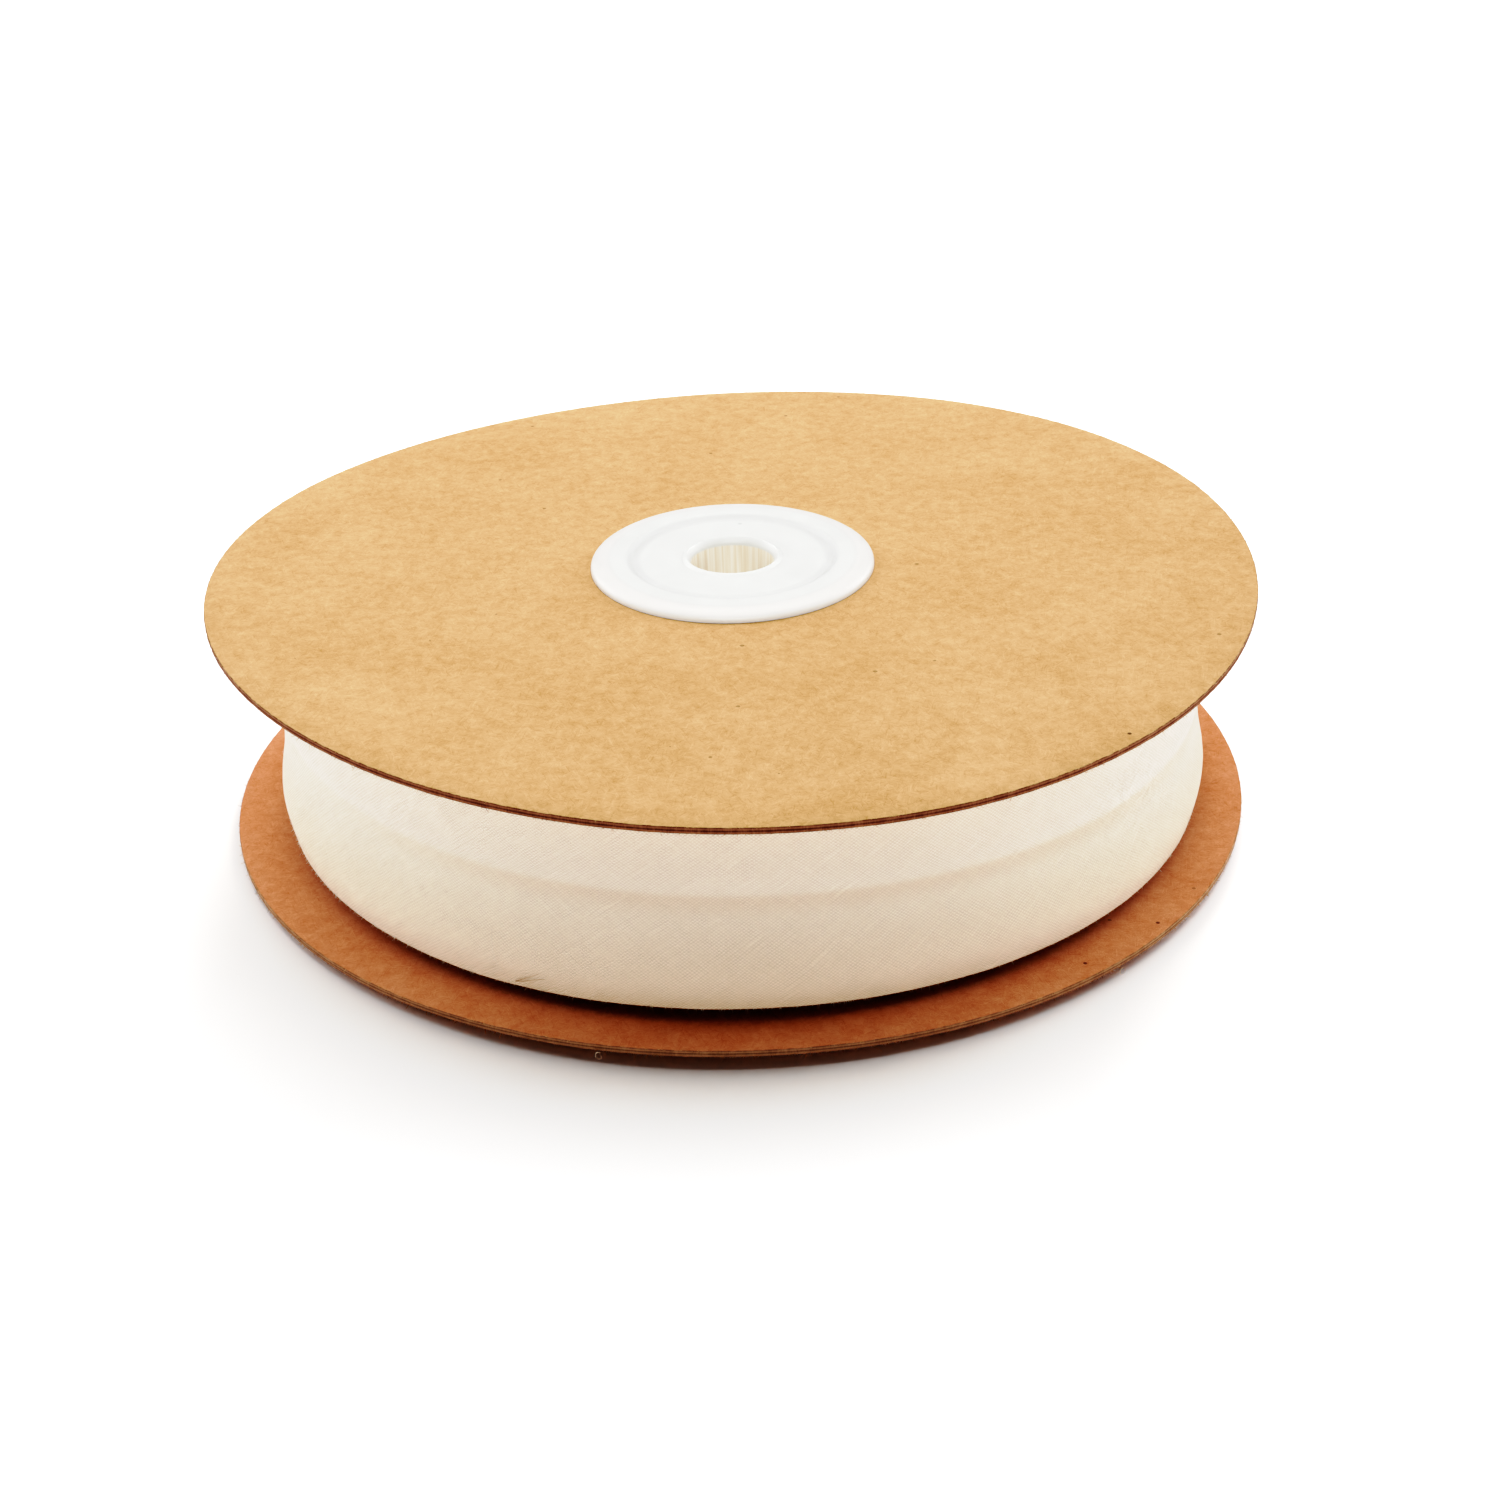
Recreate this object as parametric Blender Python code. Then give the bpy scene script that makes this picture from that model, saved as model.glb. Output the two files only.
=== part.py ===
"""A reel of bias binding: folded cloth tape wound on a plastic hub between two kraft card flanges.

Metres, +Z up. The reel stands on its lower hub flange: the origin is on the surface under the
reel's axis, and +Z runs up that axis.
"""
from math import atan2, cos, exp, hypot, pi, radians, sin

import bmesh
import bpy
from mathutils import Vector

MM = 0.001
SEAT_GAP = 0.3 * MM  # between pieces that touch on the real reel

# Card flanges
REEL_RADIUS = 63.5 * MM
CARD_THICKNESS = 0.7 * MM
CARD_SPACING = 28.0 * MM  # between the two inner faces, at the hub
UPPER_CARD_WARP = 1.05 * MM  # saddle height at the rim
UPPER_CARD_HIGH_SIDE = radians(23.7)
LOWER_CARD_WARP = 0.43 * MM
LOWER_CARD_HIGH_SIDE = radians(73.9)
LOWER_CARD_LEAN = 0.45 * MM  # rise of the rim on its higher side
LOWER_CARD_LEAN_SIDE = radians(-31.3)
LOWER_CARD_SHIFT = Vector((0.37, 0.44, 0.0)) * MM  # play of its hole round the barrel

# Plastic hub, in two halves that plug together
HUB_RADIUS = 17.8 * MM
HUB_RISE = 1.1 * MM  # crest of a hub flange above the card's outer face
PLATE_RISE = 0.75 * MM
GROOVE_RISE = 0.66 * MM
RIM_RISE = 0.52 * MM
CREST_OUTER_RADIUS = 15.4 * MM
CREST_INNER_RADIUS = 13.3 * MM
GROOVE_RADIUS = 12.5 * MM
PLATE_RADIUS = 11.7 * MM
COLLAR_RADIUS = 6.3 * MM
SPINDLE_RADIUS = 4.8 * MM
SPINDLE_TUBE_WALL = 1.2 * MM
BARREL_RADIUS = 14.0 * MM
BARREL_WALL = 1.2 * MM
SPIGOT_WALL = 1.1 * MM
SPIGOT_LENGTH = 12.0 * MM

# Wound tape
TAPE_WIDTH = 25.0 * MM
TAPE_RADIUS = 57.15 * MM
TAPE_LIFT = 1.9 * MM  # lower fold edge above the lower card
TAPE_SHIFT = Vector((0.85, 0.0, 0.0)) * MM  # the winding has grown a little more on one side
FOLD_RADIUS = 0.5 * MM  # rounding of the tape's folded edges
LOW_BULGE = 0.85 * MM
LOW_BULGE_HEIGHT = 3.4 * MM
LOW_BULGE_SPREAD = 3.4 * MM
MIDDLE_DIP = 0.35 * MM  # where the two raw edges meet inside the fold
MIDDLE_DIP_HEIGHT = 13.6 * MM
MIDDLE_DIP_SPREAD_BELOW = 5.0 * MM
MIDDLE_DIP_SPREAD_ABOVE = 1.2 * MM
FACE_STEPS = 11

# Facets
CARD_SEGMENTS = 96
CARD_RINGS = 4
ROLL_SEGMENTS = 96
HUB_SEGMENTS = 64
EDGE_STEPS = 3

# Heights worked out from the sizes above
LOWER_CARD_BOTTOM = HUB_RISE
LOWER_CARD_TOP = LOWER_CARD_BOTTOM + CARD_THICKNESS
UPPER_CARD_BOTTOM = LOWER_CARD_TOP + CARD_SPACING
UPPER_CARD_TOP = UPPER_CARD_BOTTOM + CARD_THICKNESS
REEL_HEIGHT = UPPER_CARD_TOP + HUB_RISE
MID_HEIGHT = REEL_HEIGHT / 2
TAPE_BOTTOM = LOWER_CARD_TOP + TAPE_LIFT

# Radii worked out from the sizes above
BARREL_BORE_RADIUS = BARREL_RADIUS - BARREL_WALL
SPIGOT_RADIUS = BARREL_BORE_RADIUS - SEAT_GAP
SPIGOT_BORE_RADIUS = SPIGOT_RADIUS - SPIGOT_WALL
SPINDLE_TUBE_RADIUS = SPINDLE_RADIUS + SPINDLE_TUBE_WALL
UPPER_CARD_HOLE_RADIUS = SPIGOT_RADIUS + SEAT_GAP
LOWER_CARD_HOLE_RADIUS = BARREL_RADIUS + SEAT_GAP + LOWER_CARD_SHIFT.length


def clear_scene():
    for item in list(bpy.data.objects):
        bpy.data.objects.remove(item, do_unlink=True)


def make_material(name, colour, roughness):
    material = bpy.data.materials.new(name)
    material.use_nodes = True
    shader = material.node_tree.nodes["Principled BSDF"]
    shader.inputs["Base Color"].default_value = (*colour, 1.0)
    shader.inputs["Roughness"].default_value = roughness
    shader.inputs["Metallic"].default_value = 0.0
    material.diffuse_color = (*colour, 1.0)
    return material


def corner(radius, height, size, start, end):
    """Points of a rounded profile corner, turning from angle start to end about its centre."""
    points = []
    for step in range(EDGE_STEPS + 1):
        angle = start + (end - start) * step / EDGE_STEPS
        points.append((radius + size * cos(angle), height + size * sin(angle)))
    return points


def turned_ring(name, profile, segments, material, place=None):
    """A closed (radius, height) outline spun round +Z, then each point moved by place(point)."""
    mesh = bmesh.new()
    corners = [mesh.verts.new((radius, 0.0, height)) for radius, height in profile]
    edges = [mesh.edges.new((a, b)) for a, b in zip(corners, corners[1:] + corners[:1])]
    bmesh.ops.spin(
        mesh,
        geom=corners + edges,
        cent=(0.0, 0.0, 0.0),
        axis=(0.0, 0.0, 1.0),
        angle=2 * pi,
        steps=segments,
        use_merge=True,
        use_duplicate=False,
    )
    bmesh.ops.recalc_face_normals(mesh, faces=mesh.faces)
    if place:
        for vertex in mesh.verts:
            vertex.co = place(vertex.co.copy())
    data = bpy.data.meshes.new(name)
    mesh.to_mesh(data)
    mesh.free()
    data.materials.append(material)
    data.shade_smooth()
    data.set_sharp_from_angle(angle=radians(35.0))
    ring = bpy.data.objects.new(name, data)
    bpy.context.scene.collection.objects.link(ring)
    return ring


def card_reach(point):
    """0 at the hub flange's rim and 1 at the card's."""
    return max(0.0, hypot(point.x, point.y) - HUB_RADIUS) / (REEL_RADIUS - HUB_RADIUS)


def saddle(point, height, high_side):
    """How far a dried-out card has curled at a point: nothing at the hub, most at the rim."""
    return height * card_reach(point) ** 2 * cos(2 * (atan2(point.y, point.x) - high_side))


def card_profile(hole_radius, bottom):
    """A flat ring with CARD_RINGS bands across each face, so that it can curl."""
    reaches = [hole_radius + (REEL_RADIUS - hole_radius) * n / CARD_RINGS for n in range(CARD_RINGS + 1)]
    upper = [(reach, bottom + CARD_THICKNESS) for reach in reaches]
    lower = [(reach, bottom) for reach in reversed(reaches)]
    return upper + lower


def make_upper_card(material):
    def place(point):
        return point + Vector((0, 0, saddle(point, UPPER_CARD_WARP, UPPER_CARD_HIGH_SIDE)))

    profile = card_profile(UPPER_CARD_HOLE_RADIUS, UPPER_CARD_BOTTOM)
    return turned_ring("flange_upper", profile, CARD_SEGMENTS, material, place)


def make_lower_card(material):
    def place(point):
        lift = saddle(point, LOWER_CARD_WARP, LOWER_CARD_HIGH_SIDE)
        side = cos(atan2(point.y, point.x) - LOWER_CARD_LEAN_SIDE)
        lift += LOWER_CARD_LEAN * card_reach(point) * side
        return point + LOWER_CARD_SHIFT + Vector((0, 0, lift))

    profile = card_profile(LOWER_CARD_HOLE_RADIUS, LOWER_CARD_BOTTOM)
    return turned_ring("flange_lower", profile, CARD_SEGMENTS, material, place)


def flange_relief():
    """Face of a hub flange from its rim in to its spindle hole, as (radius, rise over the card)."""
    shoulder = (HUB_RADIUS + CREST_OUTER_RADIUS) / 2
    collar_middle = (SPINDLE_RADIUS + COLLAR_RADIUS) / 2
    return [
        (HUB_RADIUS, RIM_RISE - 0.08 * MM),
        (HUB_RADIUS - 0.12 * MM, RIM_RISE + 0.08 * MM),
        (shoulder, HUB_RISE - 0.14 * MM),
        (CREST_OUTER_RADIUS, HUB_RISE),
        (CREST_INNER_RADIUS, HUB_RISE),
        (GROOVE_RADIUS, GROOVE_RISE),
        (PLATE_RADIUS, PLATE_RISE),
        (COLLAR_RADIUS, PLATE_RISE),
        (COLLAR_RADIUS - 0.35 * MM, HUB_RISE - 0.12 * MM),
        (collar_middle, HUB_RISE - 0.05 * MM),
        (SPINDLE_RADIUS + 0.25 * MM, HUB_RISE - 0.12 * MM),
        (SPINDLE_RADIUS, HUB_RISE - 0.35 * MM),
    ]


def make_upper_hub(material):
    """Flange on the upper card, spindle tube, and a spigot that plugs into the barrel."""
    face = [(radius, UPPER_CARD_TOP + rise) for radius, rise in flange_relief()]
    plate_bottom = UPPER_CARD_TOP + SEAT_GAP
    tube_end = MID_HEIGHT + SEAT_GAP / 2
    spigot_end = plate_bottom - SPIGOT_LENGTH
    inside = [
        (SPINDLE_RADIUS, tube_end),
        (SPINDLE_TUBE_RADIUS, tube_end),
        (SPINDLE_TUBE_RADIUS, plate_bottom),
        (SPIGOT_BORE_RADIUS, plate_bottom),
        (SPIGOT_BORE_RADIUS, spigot_end),
        (SPIGOT_RADIUS, spigot_end),
        (SPIGOT_RADIUS, plate_bottom),
        (HUB_RADIUS, plate_bottom),
    ]
    return turned_ring("hub_upper", face + inside, HUB_SEGMENTS, material)


def make_lower_hub(material):
    """The same flange facing down as the reel's foot, spindle tube, and the barrel."""
    face = [(radius, LOWER_CARD_BOTTOM - rise) for radius, rise in flange_relief()]
    plate_top = LOWER_CARD_BOTTOM - SEAT_GAP
    tube_end = MID_HEIGHT - SEAT_GAP / 2
    barrel_end = UPPER_CARD_BOTTOM - SEAT_GAP
    inside = [
        (SPINDLE_RADIUS, tube_end),
        (SPINDLE_TUBE_RADIUS, tube_end),
        (SPINDLE_TUBE_RADIUS, plate_top),
        (BARREL_BORE_RADIUS, plate_top),
        (BARREL_BORE_RADIUS, barrel_end),
        (BARREL_RADIUS, barrel_end),
        (BARREL_RADIUS, plate_top),
        (HUB_RADIUS, plate_top),
    ]
    return turned_ring("hub_lower", face + inside, HUB_SEGMENTS, material)


def tape_face_radius(height):
    """Outer radius of the winding at a height above its lower fold edge."""
    bulge = LOW_BULGE * exp(-(((height - LOW_BULGE_HEIGHT) / LOW_BULGE_SPREAD) ** 2))
    above_dip = height - MIDDLE_DIP_HEIGHT
    spread = MIDDLE_DIP_SPREAD_ABOVE if above_dip > 0 else MIDDLE_DIP_SPREAD_BELOW
    return TAPE_RADIUS + bulge - MIDDLE_DIP * exp(-((above_dip / spread) ** 2))


def make_tape_roll(material):
    """The wound tape: one ring round the barrel, grown a little to one side."""
    barrel_side = BARREL_RADIUS + SEAT_GAP
    top = TAPE_WIDTH
    upper_radius = tape_face_radius(top - FOLD_RADIUS) - FOLD_RADIUS
    lower_radius = tape_face_radius(FOLD_RADIUS) - FOLD_RADIUS
    profile = corner(upper_radius, top - FOLD_RADIUS, FOLD_RADIUS, pi / 2, 0.0)
    for step in range(1, FACE_STEPS):
        height = top - FOLD_RADIUS - (top - 2 * FOLD_RADIUS) * step / FACE_STEPS
        profile.append((tape_face_radius(height), height))
    profile += corner(lower_radius, FOLD_RADIUS, FOLD_RADIUS, 0.0, -pi / 2)
    profile += [(barrel_side, 0.0), (barrel_side, top)]
    profile = [(radius, TAPE_BOTTOM + height) for radius, height in profile]

    def place(point):
        reach = (hypot(point.x, point.y) - barrel_side) / (TAPE_RADIUS - barrel_side)
        return point + TAPE_SHIFT * max(0.0, reach)

    return turned_ring("tape_roll", profile, ROLL_SEGMENTS, material, place)


def build():
    clear_scene()
    kraft = make_material("kraft_card", (0.78, 0.50, 0.20), 0.85)
    plastic = make_material("white_plastic", (0.88, 0.88, 0.86), 0.4)
    cotton = make_material("cream_cotton", (0.84, 0.78, 0.66), 0.9)
    make_lower_hub(plastic)
    make_lower_card(kraft)
    make_tape_roll(cotton)
    make_upper_card(kraft)
    make_upper_hub(plastic)


build()
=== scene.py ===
"""Looks of a reel of bias binding: cream cotton tape on a white hub between two kraft cards.

Metres, +Z up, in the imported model's frame: the reel stands on the surface at the origin.
"""
from math import cos, pi, radians, sin

import bmesh
import bpy
import numpy as np
from mathutils import Matrix, Vector, noise


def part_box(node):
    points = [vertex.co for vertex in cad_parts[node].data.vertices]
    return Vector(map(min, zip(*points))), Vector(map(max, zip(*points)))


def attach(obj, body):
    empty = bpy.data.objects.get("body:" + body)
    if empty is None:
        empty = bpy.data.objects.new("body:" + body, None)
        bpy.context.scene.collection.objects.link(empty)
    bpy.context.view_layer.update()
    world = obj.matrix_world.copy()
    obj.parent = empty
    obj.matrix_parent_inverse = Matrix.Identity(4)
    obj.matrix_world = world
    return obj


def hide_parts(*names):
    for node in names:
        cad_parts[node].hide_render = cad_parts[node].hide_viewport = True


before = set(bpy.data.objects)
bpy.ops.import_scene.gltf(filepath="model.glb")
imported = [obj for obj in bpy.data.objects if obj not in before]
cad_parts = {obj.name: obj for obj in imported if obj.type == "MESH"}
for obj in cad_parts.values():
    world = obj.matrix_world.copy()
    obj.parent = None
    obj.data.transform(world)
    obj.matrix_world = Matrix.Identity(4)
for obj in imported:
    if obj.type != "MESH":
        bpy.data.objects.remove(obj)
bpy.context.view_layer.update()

MM = 0.001
SEED = 7

# Camera, as the photo was taken
PHOTO_SIDE_PX = 1500
FOCAL_LENGTH_PX = 2329.2
SENSOR_MM = 36.0
CAMERA_ELEVATION = radians(28.307)
CAMERA_ROLL = radians(-1.42)
CAMERA_DISTANCE = 298.6 * MM
CAMERA_TARGET = Vector((1.78, 0.0, 4.31)) * MM

# Reel
REEL_RADIUS = 63.5 * MM
REEL_HEIGHT = 31.6 * MM
HUB_RISE = 1.1 * MM  # crest of a hub flange above the card's outer face
UPPER_CARD_TOP = REEL_HEIGHT - HUB_RISE
LOWER_CARD_BOTTOM = HUB_RISE
MID_HEIGHT = REEL_HEIGHT / 2
TAPE_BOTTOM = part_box("tape_roll")[0].z
SEAT_GAP = 0.3 * MM  # between pieces that touch on the real reel

# Card flanges
CARD_THICKNESS = 0.8 * MM
CURL_START_RADIUS = 17.8 * MM  # the cards lie flat inside it, under the hub
UPPER_CARD_WARP = 1.05 * MM  # saddle height at the rim
UPPER_CARD_HIGH_SIDE = radians(23.7)
UPPER_CARD_HOLE_RADIUS = 12.8 * MM
LOWER_CARD_WARP = 0.43 * MM
LOWER_CARD_HIGH_SIDE = radians(73.9)
LOWER_CARD_LEAN = 0.45 * MM  # rise of the rim on its higher side
LOWER_CARD_LEAN_SIDE = radians(-31.3)
LOWER_CARD_SHIFT = Vector((0.37, 0.44, 0.0)) * MM
LOWER_CARD_HOLE_RADIUS = 14.9 * MM
CARD_EDGE_ROUND = 0.09 * MM
CARD_SEGMENTS = 720
CARD_FACE_ROWS = 16
CARD_RIM_ROWS = 12
CARD_CORNER_STEPS = 3
CARD_PLIES = 2
PLY_BULGE = 0.015 * MM
RIM_ROUGHNESS = 0.035 * MM
RIM_COARSE_GRAIN = 1.3 * MM
RIM_FINE_GRAIN = 0.45 * MM
RIM_FINE_SHARE = 0.6
RIM_GRAIN_SQUASH = 4  # the rough cut is this much finer in height than round the rim
FACE_WAVE = 0.05 * MM
FACE_WAVE_LENGTH = 16 * MM
FACE_WAVE_RAMP = 8 * MM  # ring beside the hub where the wave sets in

# Plastic hub
HUB_RADIUS = 17.4 * MM
HUB_SHIFT = Vector((0.2, -0.2, 0.0)) * MM
UPPER_HUB_LIFT = 0.15 * MM
LIFT_RAMP = 0.4 * MM
PLATE_RISE = 0.75 * MM
GROOVE_RISE = 0.66 * MM
RIM_RISE = 0.12 * MM
SKIRT_WIDTH = 1.0 * MM
SKIRT_GAP = 0.04 * MM
CREST_OUTER_RADIUS = 15.2 * MM
CREST_FLAT_RADIUS = 13.8 * MM
CREST_INNER_RADIUS = 13.1 * MM
GROOVE_RADIUS = 12.2 * MM
PLATE_RADIUS = 11.3 * MM
COLLAR_FOOT_RADIUS = 6.3 * MM
COLLAR_CREST_RADIUS = 5.65 * MM
COLLAR_RISE = 1.05 * MM
MOUTH_RADIUS = 5.15 * MM
LIP_DEPTH = 0.75 * MM
LIP_CURVE = 1.3
SPINDLE_RADIUS = 4.8 * MM
SPINDLE_TUBE_WALL = 1.2 * MM
BARREL_RADIUS = 14.0 * MM
BARREL_WALL = 1.2 * MM
SPIGOT_WALL = 1.1 * MM
SPIGOT_LENGTH = 12.0 * MM
HUB_SEGMENTS = 256
BEAD_STEPS = 14
SLOPE_STEPS = 12
PLATE_STEPS = 5
LIP_STEPS = 7
HUB_SMOOTH_ANGLE = 35.0
GATE_MARK = Vector((1.0, 10.3)) * MM

# Wound tape
TAPE_WIDTH = 25.0 * MM
TAPE_RADIUS = 57.05 * MM
TAPE_SHIFT = 0.72 * MM  # how much fuller the winding is on one side
TAPE_THICKNESS = 0.46 * MM
TAPE_FOLD_RADIUS = 0.23 * MM
LOW_BULGE = 0.85 * MM
LOW_BULGE_HEIGHT = 3.4 * MM
LOW_BULGE_SPREAD = 3.4 * MM
MIDDLE_DIP = 0.35 * MM
MIDDLE_DIP_HEIGHT = 13.6 * MM
MIDDLE_DIP_WANDER = 0.8 * MM
MIDDLE_DIP_HIGH_SIDE = radians(-165.0)
MIDDLE_DIP_SPREAD_BELOW = 5.0 * MM
MIDDLE_DIP_SPREAD_ABOVE = 1.1 * MM
RAW_EDGE_GAP = 0.8 * MM
PUCKER = 0.05 * MM
PUCKER_TURN_RADIUS = 9  # a greater one makes more puckers round the reel
PUCKER_HEIGHT = 6 * MM
FINE_PUCKER_SHARE = 0.3
FINE_PUCKER_TURN_RADIUS = 30
FINE_PUCKER_HEIGHT = 3 * MM
FREE_END_ANGLE = radians(118.0)
FREE_END_OVERLAP = radians(6.0)
FOLD_STEPS = 8
STRIP_STEPS = 600
FACE_ROWS = 34
ROLL_SEGMENTS = 480
EDGE_WANDER = 0.12 * MM
EDGE_WANDER_TURN_RADIUS = 1.6
EDGE_WANDER_CLIMB = 0.3
NEXT_TURN_CLIMB = 0.37

# Inner turns, which show at the ends of the winding
WOUND_BODY_RADIUS = TAPE_RADIUS - 0.75 * TAPE_THICKNESS
RIDGED_TURNS = 12
RIDGE_STEPS = 4
RIDGE_DROP = 0.11 * MM
RIDGE_PHASE = 0.12
UNRIDGED = -1
UPPER_END_TURNS = 100  # added to a turn's number at the upper end
FLAT_END_DROP = 0.08 * MM
FLAT_END_ROWS = 8
SWELL_DEPTH = 6 * MM

# Weave, cut on the bias
THREAD_PITCH = 0.3 * MM
BIAS_ANGLE = radians(38.0)
YARN_STRETCH = 0.045

# Fuzz on the folded edges of the outer turn, and hairs that lie on its face
FIBRE_STEPS = 6
FIBRE_TIP_SHARE = 0.45
EDGE_FUZZ_COUNT = 2400
LOWER_EDGE_SHARE = 0.65
EDGE_FUZZ_HEIGHT = (0.02 * MM, 0.4 * MM)
EDGE_FUZZ_INSET = 0.12 * MM
EDGE_FUZZ_LENGTH = 0.08 * MM
EDGE_FUZZ_LONGEST = 0.38 * MM
EDGE_FUZZ_LENGTH_SHAPE = 2.5
EDGE_FUZZ_THICKNESS = (0.045 * MM, 0.085 * MM)
EDGE_FUZZ_WAYS = (0.8, 0.6, 0.6)  # out, over the fold, and either way round
FACE_HAIR_COUNT = 220
FACE_HAIR_MARGIN = 1 * MM
FACE_HAIR_LENGTH = (0.3 * MM, 1.1 * MM)
FACE_HAIR_THICKNESS = 0.025 * MM
FACE_HAIR_OUT = 0.10
TAPE_FIBRE_INSET = 0.02 * MM
TAPE_FIBRE_CURL = 0.25

# Paper fuzz along the cut edges of a card's rim
PAPER_FUZZ_COUNT = 1500
PAPER_FUZZ_INSET = 0.05 * MM
PAPER_FUZZ_EDGE = 0.03 * MM
PAPER_FUZZ_SHORTEST = 0.06 * MM
PAPER_FUZZ_LENGTH = 0.055 * MM
PAPER_FUZZ_LENGTH_SHAPE = 3.0
PAPER_FUZZ_THICKNESS = (0.035 * MM, 0.07 * MM)
PAPER_FUZZ_WAYS = (0.5, 0.35, 0.8)  # out, off the card's face, and either way round
PAPER_FUZZ_CURL = 0.3

# Strays on this reel, as degrees round it and millimetres above the tape's lower edge
STRAY_FIBRE_ARMS = [
    [(-115.7, 0.9), (-114.6, 1.55), (-113.6, 2.15), (-112.6, 2.8)],
    [(-115.7, 0.9), (-114.4, 1.3), (-113.1, 1.85), (-111.9, 2.2)],
]
STRAY_FIBRE_LIFT = 0.22 * MM
STRAY_FIBRE_THICKNESS = 0.12 * MM
FAINT_HAIR = [(-118.3, 6.9), (-118.2, 5.4), (-117.9, 3.6), (-117.2, 2.0), (-116.1, 0.9)]
FAINT_HAIR_LIFT = 0.20 * MM
FAINT_HAIR_THICKNESS = 0.05 * MM
ROUTE_STEPS = 24

# Loops of paper fibre that hang from the lower card's rim
RIM_CURL_ANGLES = (-103.9, -48.9)
RIM_CURL_RADIUS = 0.36 * MM
RIM_CURL_SWEEP = (radians(60), radians(400))
RIM_CURL_OUT = 0.35 * MM
RIM_CURL_DROP = 0.32 * MM
RIM_CURL_SPREAD = 0.05 * MM  # outward drift for each radian of the loop
RIM_CURL_THICKNESS = 0.09 * MM

# Dark specks in the cards, millimetres from the axis
UPPER_CARD_SPECKS = [(41.97, -45.59)]
LOWER_CARD_SPECKS = [(47.64, -39.64), (38.26, -47.67)]

# Kraft board: colours of its face and of the plies at its cut rim
UPPER_KRAFT = dict(
    light=(0.725, 0.468, 0.233, 1.0),
    dark=(0.48, 0.265, 0.105, 1.0),
    rim_light=(0.37, 0.175, 0.10, 1.0),
    rim_dark=(0.12, 0.04, 0.022, 1.0),
)
# The lower card is the same kraft as the upper one: its face colours carry painted shade, redder and
# deeper, for the shadow it lies in under the upper card and the tape
LOWER_KRAFT_PAINTED_SHADE = dict(
    light=(0.72, 0.348, 0.205, 1.0),
    dark=(0.52, 0.192, 0.086, 1.0),
    rim_light=(0.56, 0.33, 0.20, 1.0),
    rim_dark=(0.25, 0.12, 0.065, 1.0),
)
KRAFT_FIBRE_ANGLES = [radians(a) for a in (8, 41, 77, 112, 150)]
KRAFT_FIBRE_LENGTH = 1.6 * MM
KRAFT_FIBRE_WIDTH = 0.13 * MM
STREAK_HEIGHT = 4  # times a streak's width
CUT_STREAK_WIDTH = 0.16 * MM
SPECK_SPACING = 3.6 * MM
SPECK_BROWN = (0.16, 0.07, 0.02, 1.0)
PLACED_SPECK_BROWN = (0.07, 0.03, 0.015, 1.0)

# Cotton: a faint painted shade along the line where the folded-in raw edges meet, and below it a painted
# warm tint of light bounced off the lower card, strongest at the lower edge
CREAM_LIGHT = (0.828, 0.762, 0.698, 1.0)
CREAM_DARK = (0.66, 0.588, 0.512, 1.0)
BOUNCE_TINT_AT_LINE = (1.0, 1.005, 0.975, 1.0)
BOUNCE_TINT_AT_EDGE = (1.09, 1.035, 0.935, 1.0)
CREASE_PAINTED_SHADE = (0.94, 0.90, 0.83, 1.0)
NO_TINT = (1.0, 1.0, 1.0, 1.0)

# Plastic
PLASTIC_LIGHT = (0.66, 0.652, 0.628, 1.0)
PLASTIC_DARK = (0.61, 0.602, 0.578, 1.0)
# Painted shade for the hub's groove and the step of its crest
GROOVE_PAINTED_SHADE = (0.50, 0.49, 0.475, 1.0)
# A painted warm tint of light bounced off the kraft, for the hub's outer bead
BEAD_PAINTED_BOUNCE = (0.66, 0.62, 0.59, 1.0)
# The spindle hole's beige is painted light: a warm glow of light bounced in the hole and shining through
# the plastic
BORE_GLOW_LIGHT = (0.785, 0.73, 0.65, 1.0)
BORE_GLOW_DARK = (0.68, 0.585, 0.455, 1.0)
GATE_GREY = (0.42, 0.42, 0.40, 1.0)
TURNING_PITCH = 0.35 * MM

# Fibres, each with the light and the dark shade that it drifts between
COTTON_FLUFF = ((0.88, 0.82, 0.73, 1.0), (0.72, 0.65, 0.55, 1.0))
BROWN_FIBRE = ((0.72, 0.52, 0.36, 1.0), (0.60, 0.42, 0.28, 1.0))
PAPER_FLUFF = ((0.72, 0.50, 0.28, 1.0), (0.45, 0.25, 0.11, 1.0))
# The rim curls are the paper fibre of the fluff painted paler: painted light, for they hang in the lower
# card's shadow
CURL_PAINTED_LIGHT = ((0.95, 0.82, 0.68, 1.0), (0.85, 0.70, 0.55, 1.0))

# Studio
FLOOR_SIZE = 2.0
FLOOR_GREY = (0.93, 0.93, 0.93, 1.0)
WORLD_COLOUR = (1.0, 0.96, 0.90, 1.0)
WORLD_LIGHT = 0.12
BACKDROP_LIGHT = 1.7
TONE_CURVE = [(0.0, 0.0), (0.05, 0.008), (0.10, 0.038), (0.20, 0.16), (0.3, 0.29), (0.5, 0.5)]
TONE_CURVE += [(0.81, 0.80), (1.01, 0.895), (1.25, 1.0)]

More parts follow.
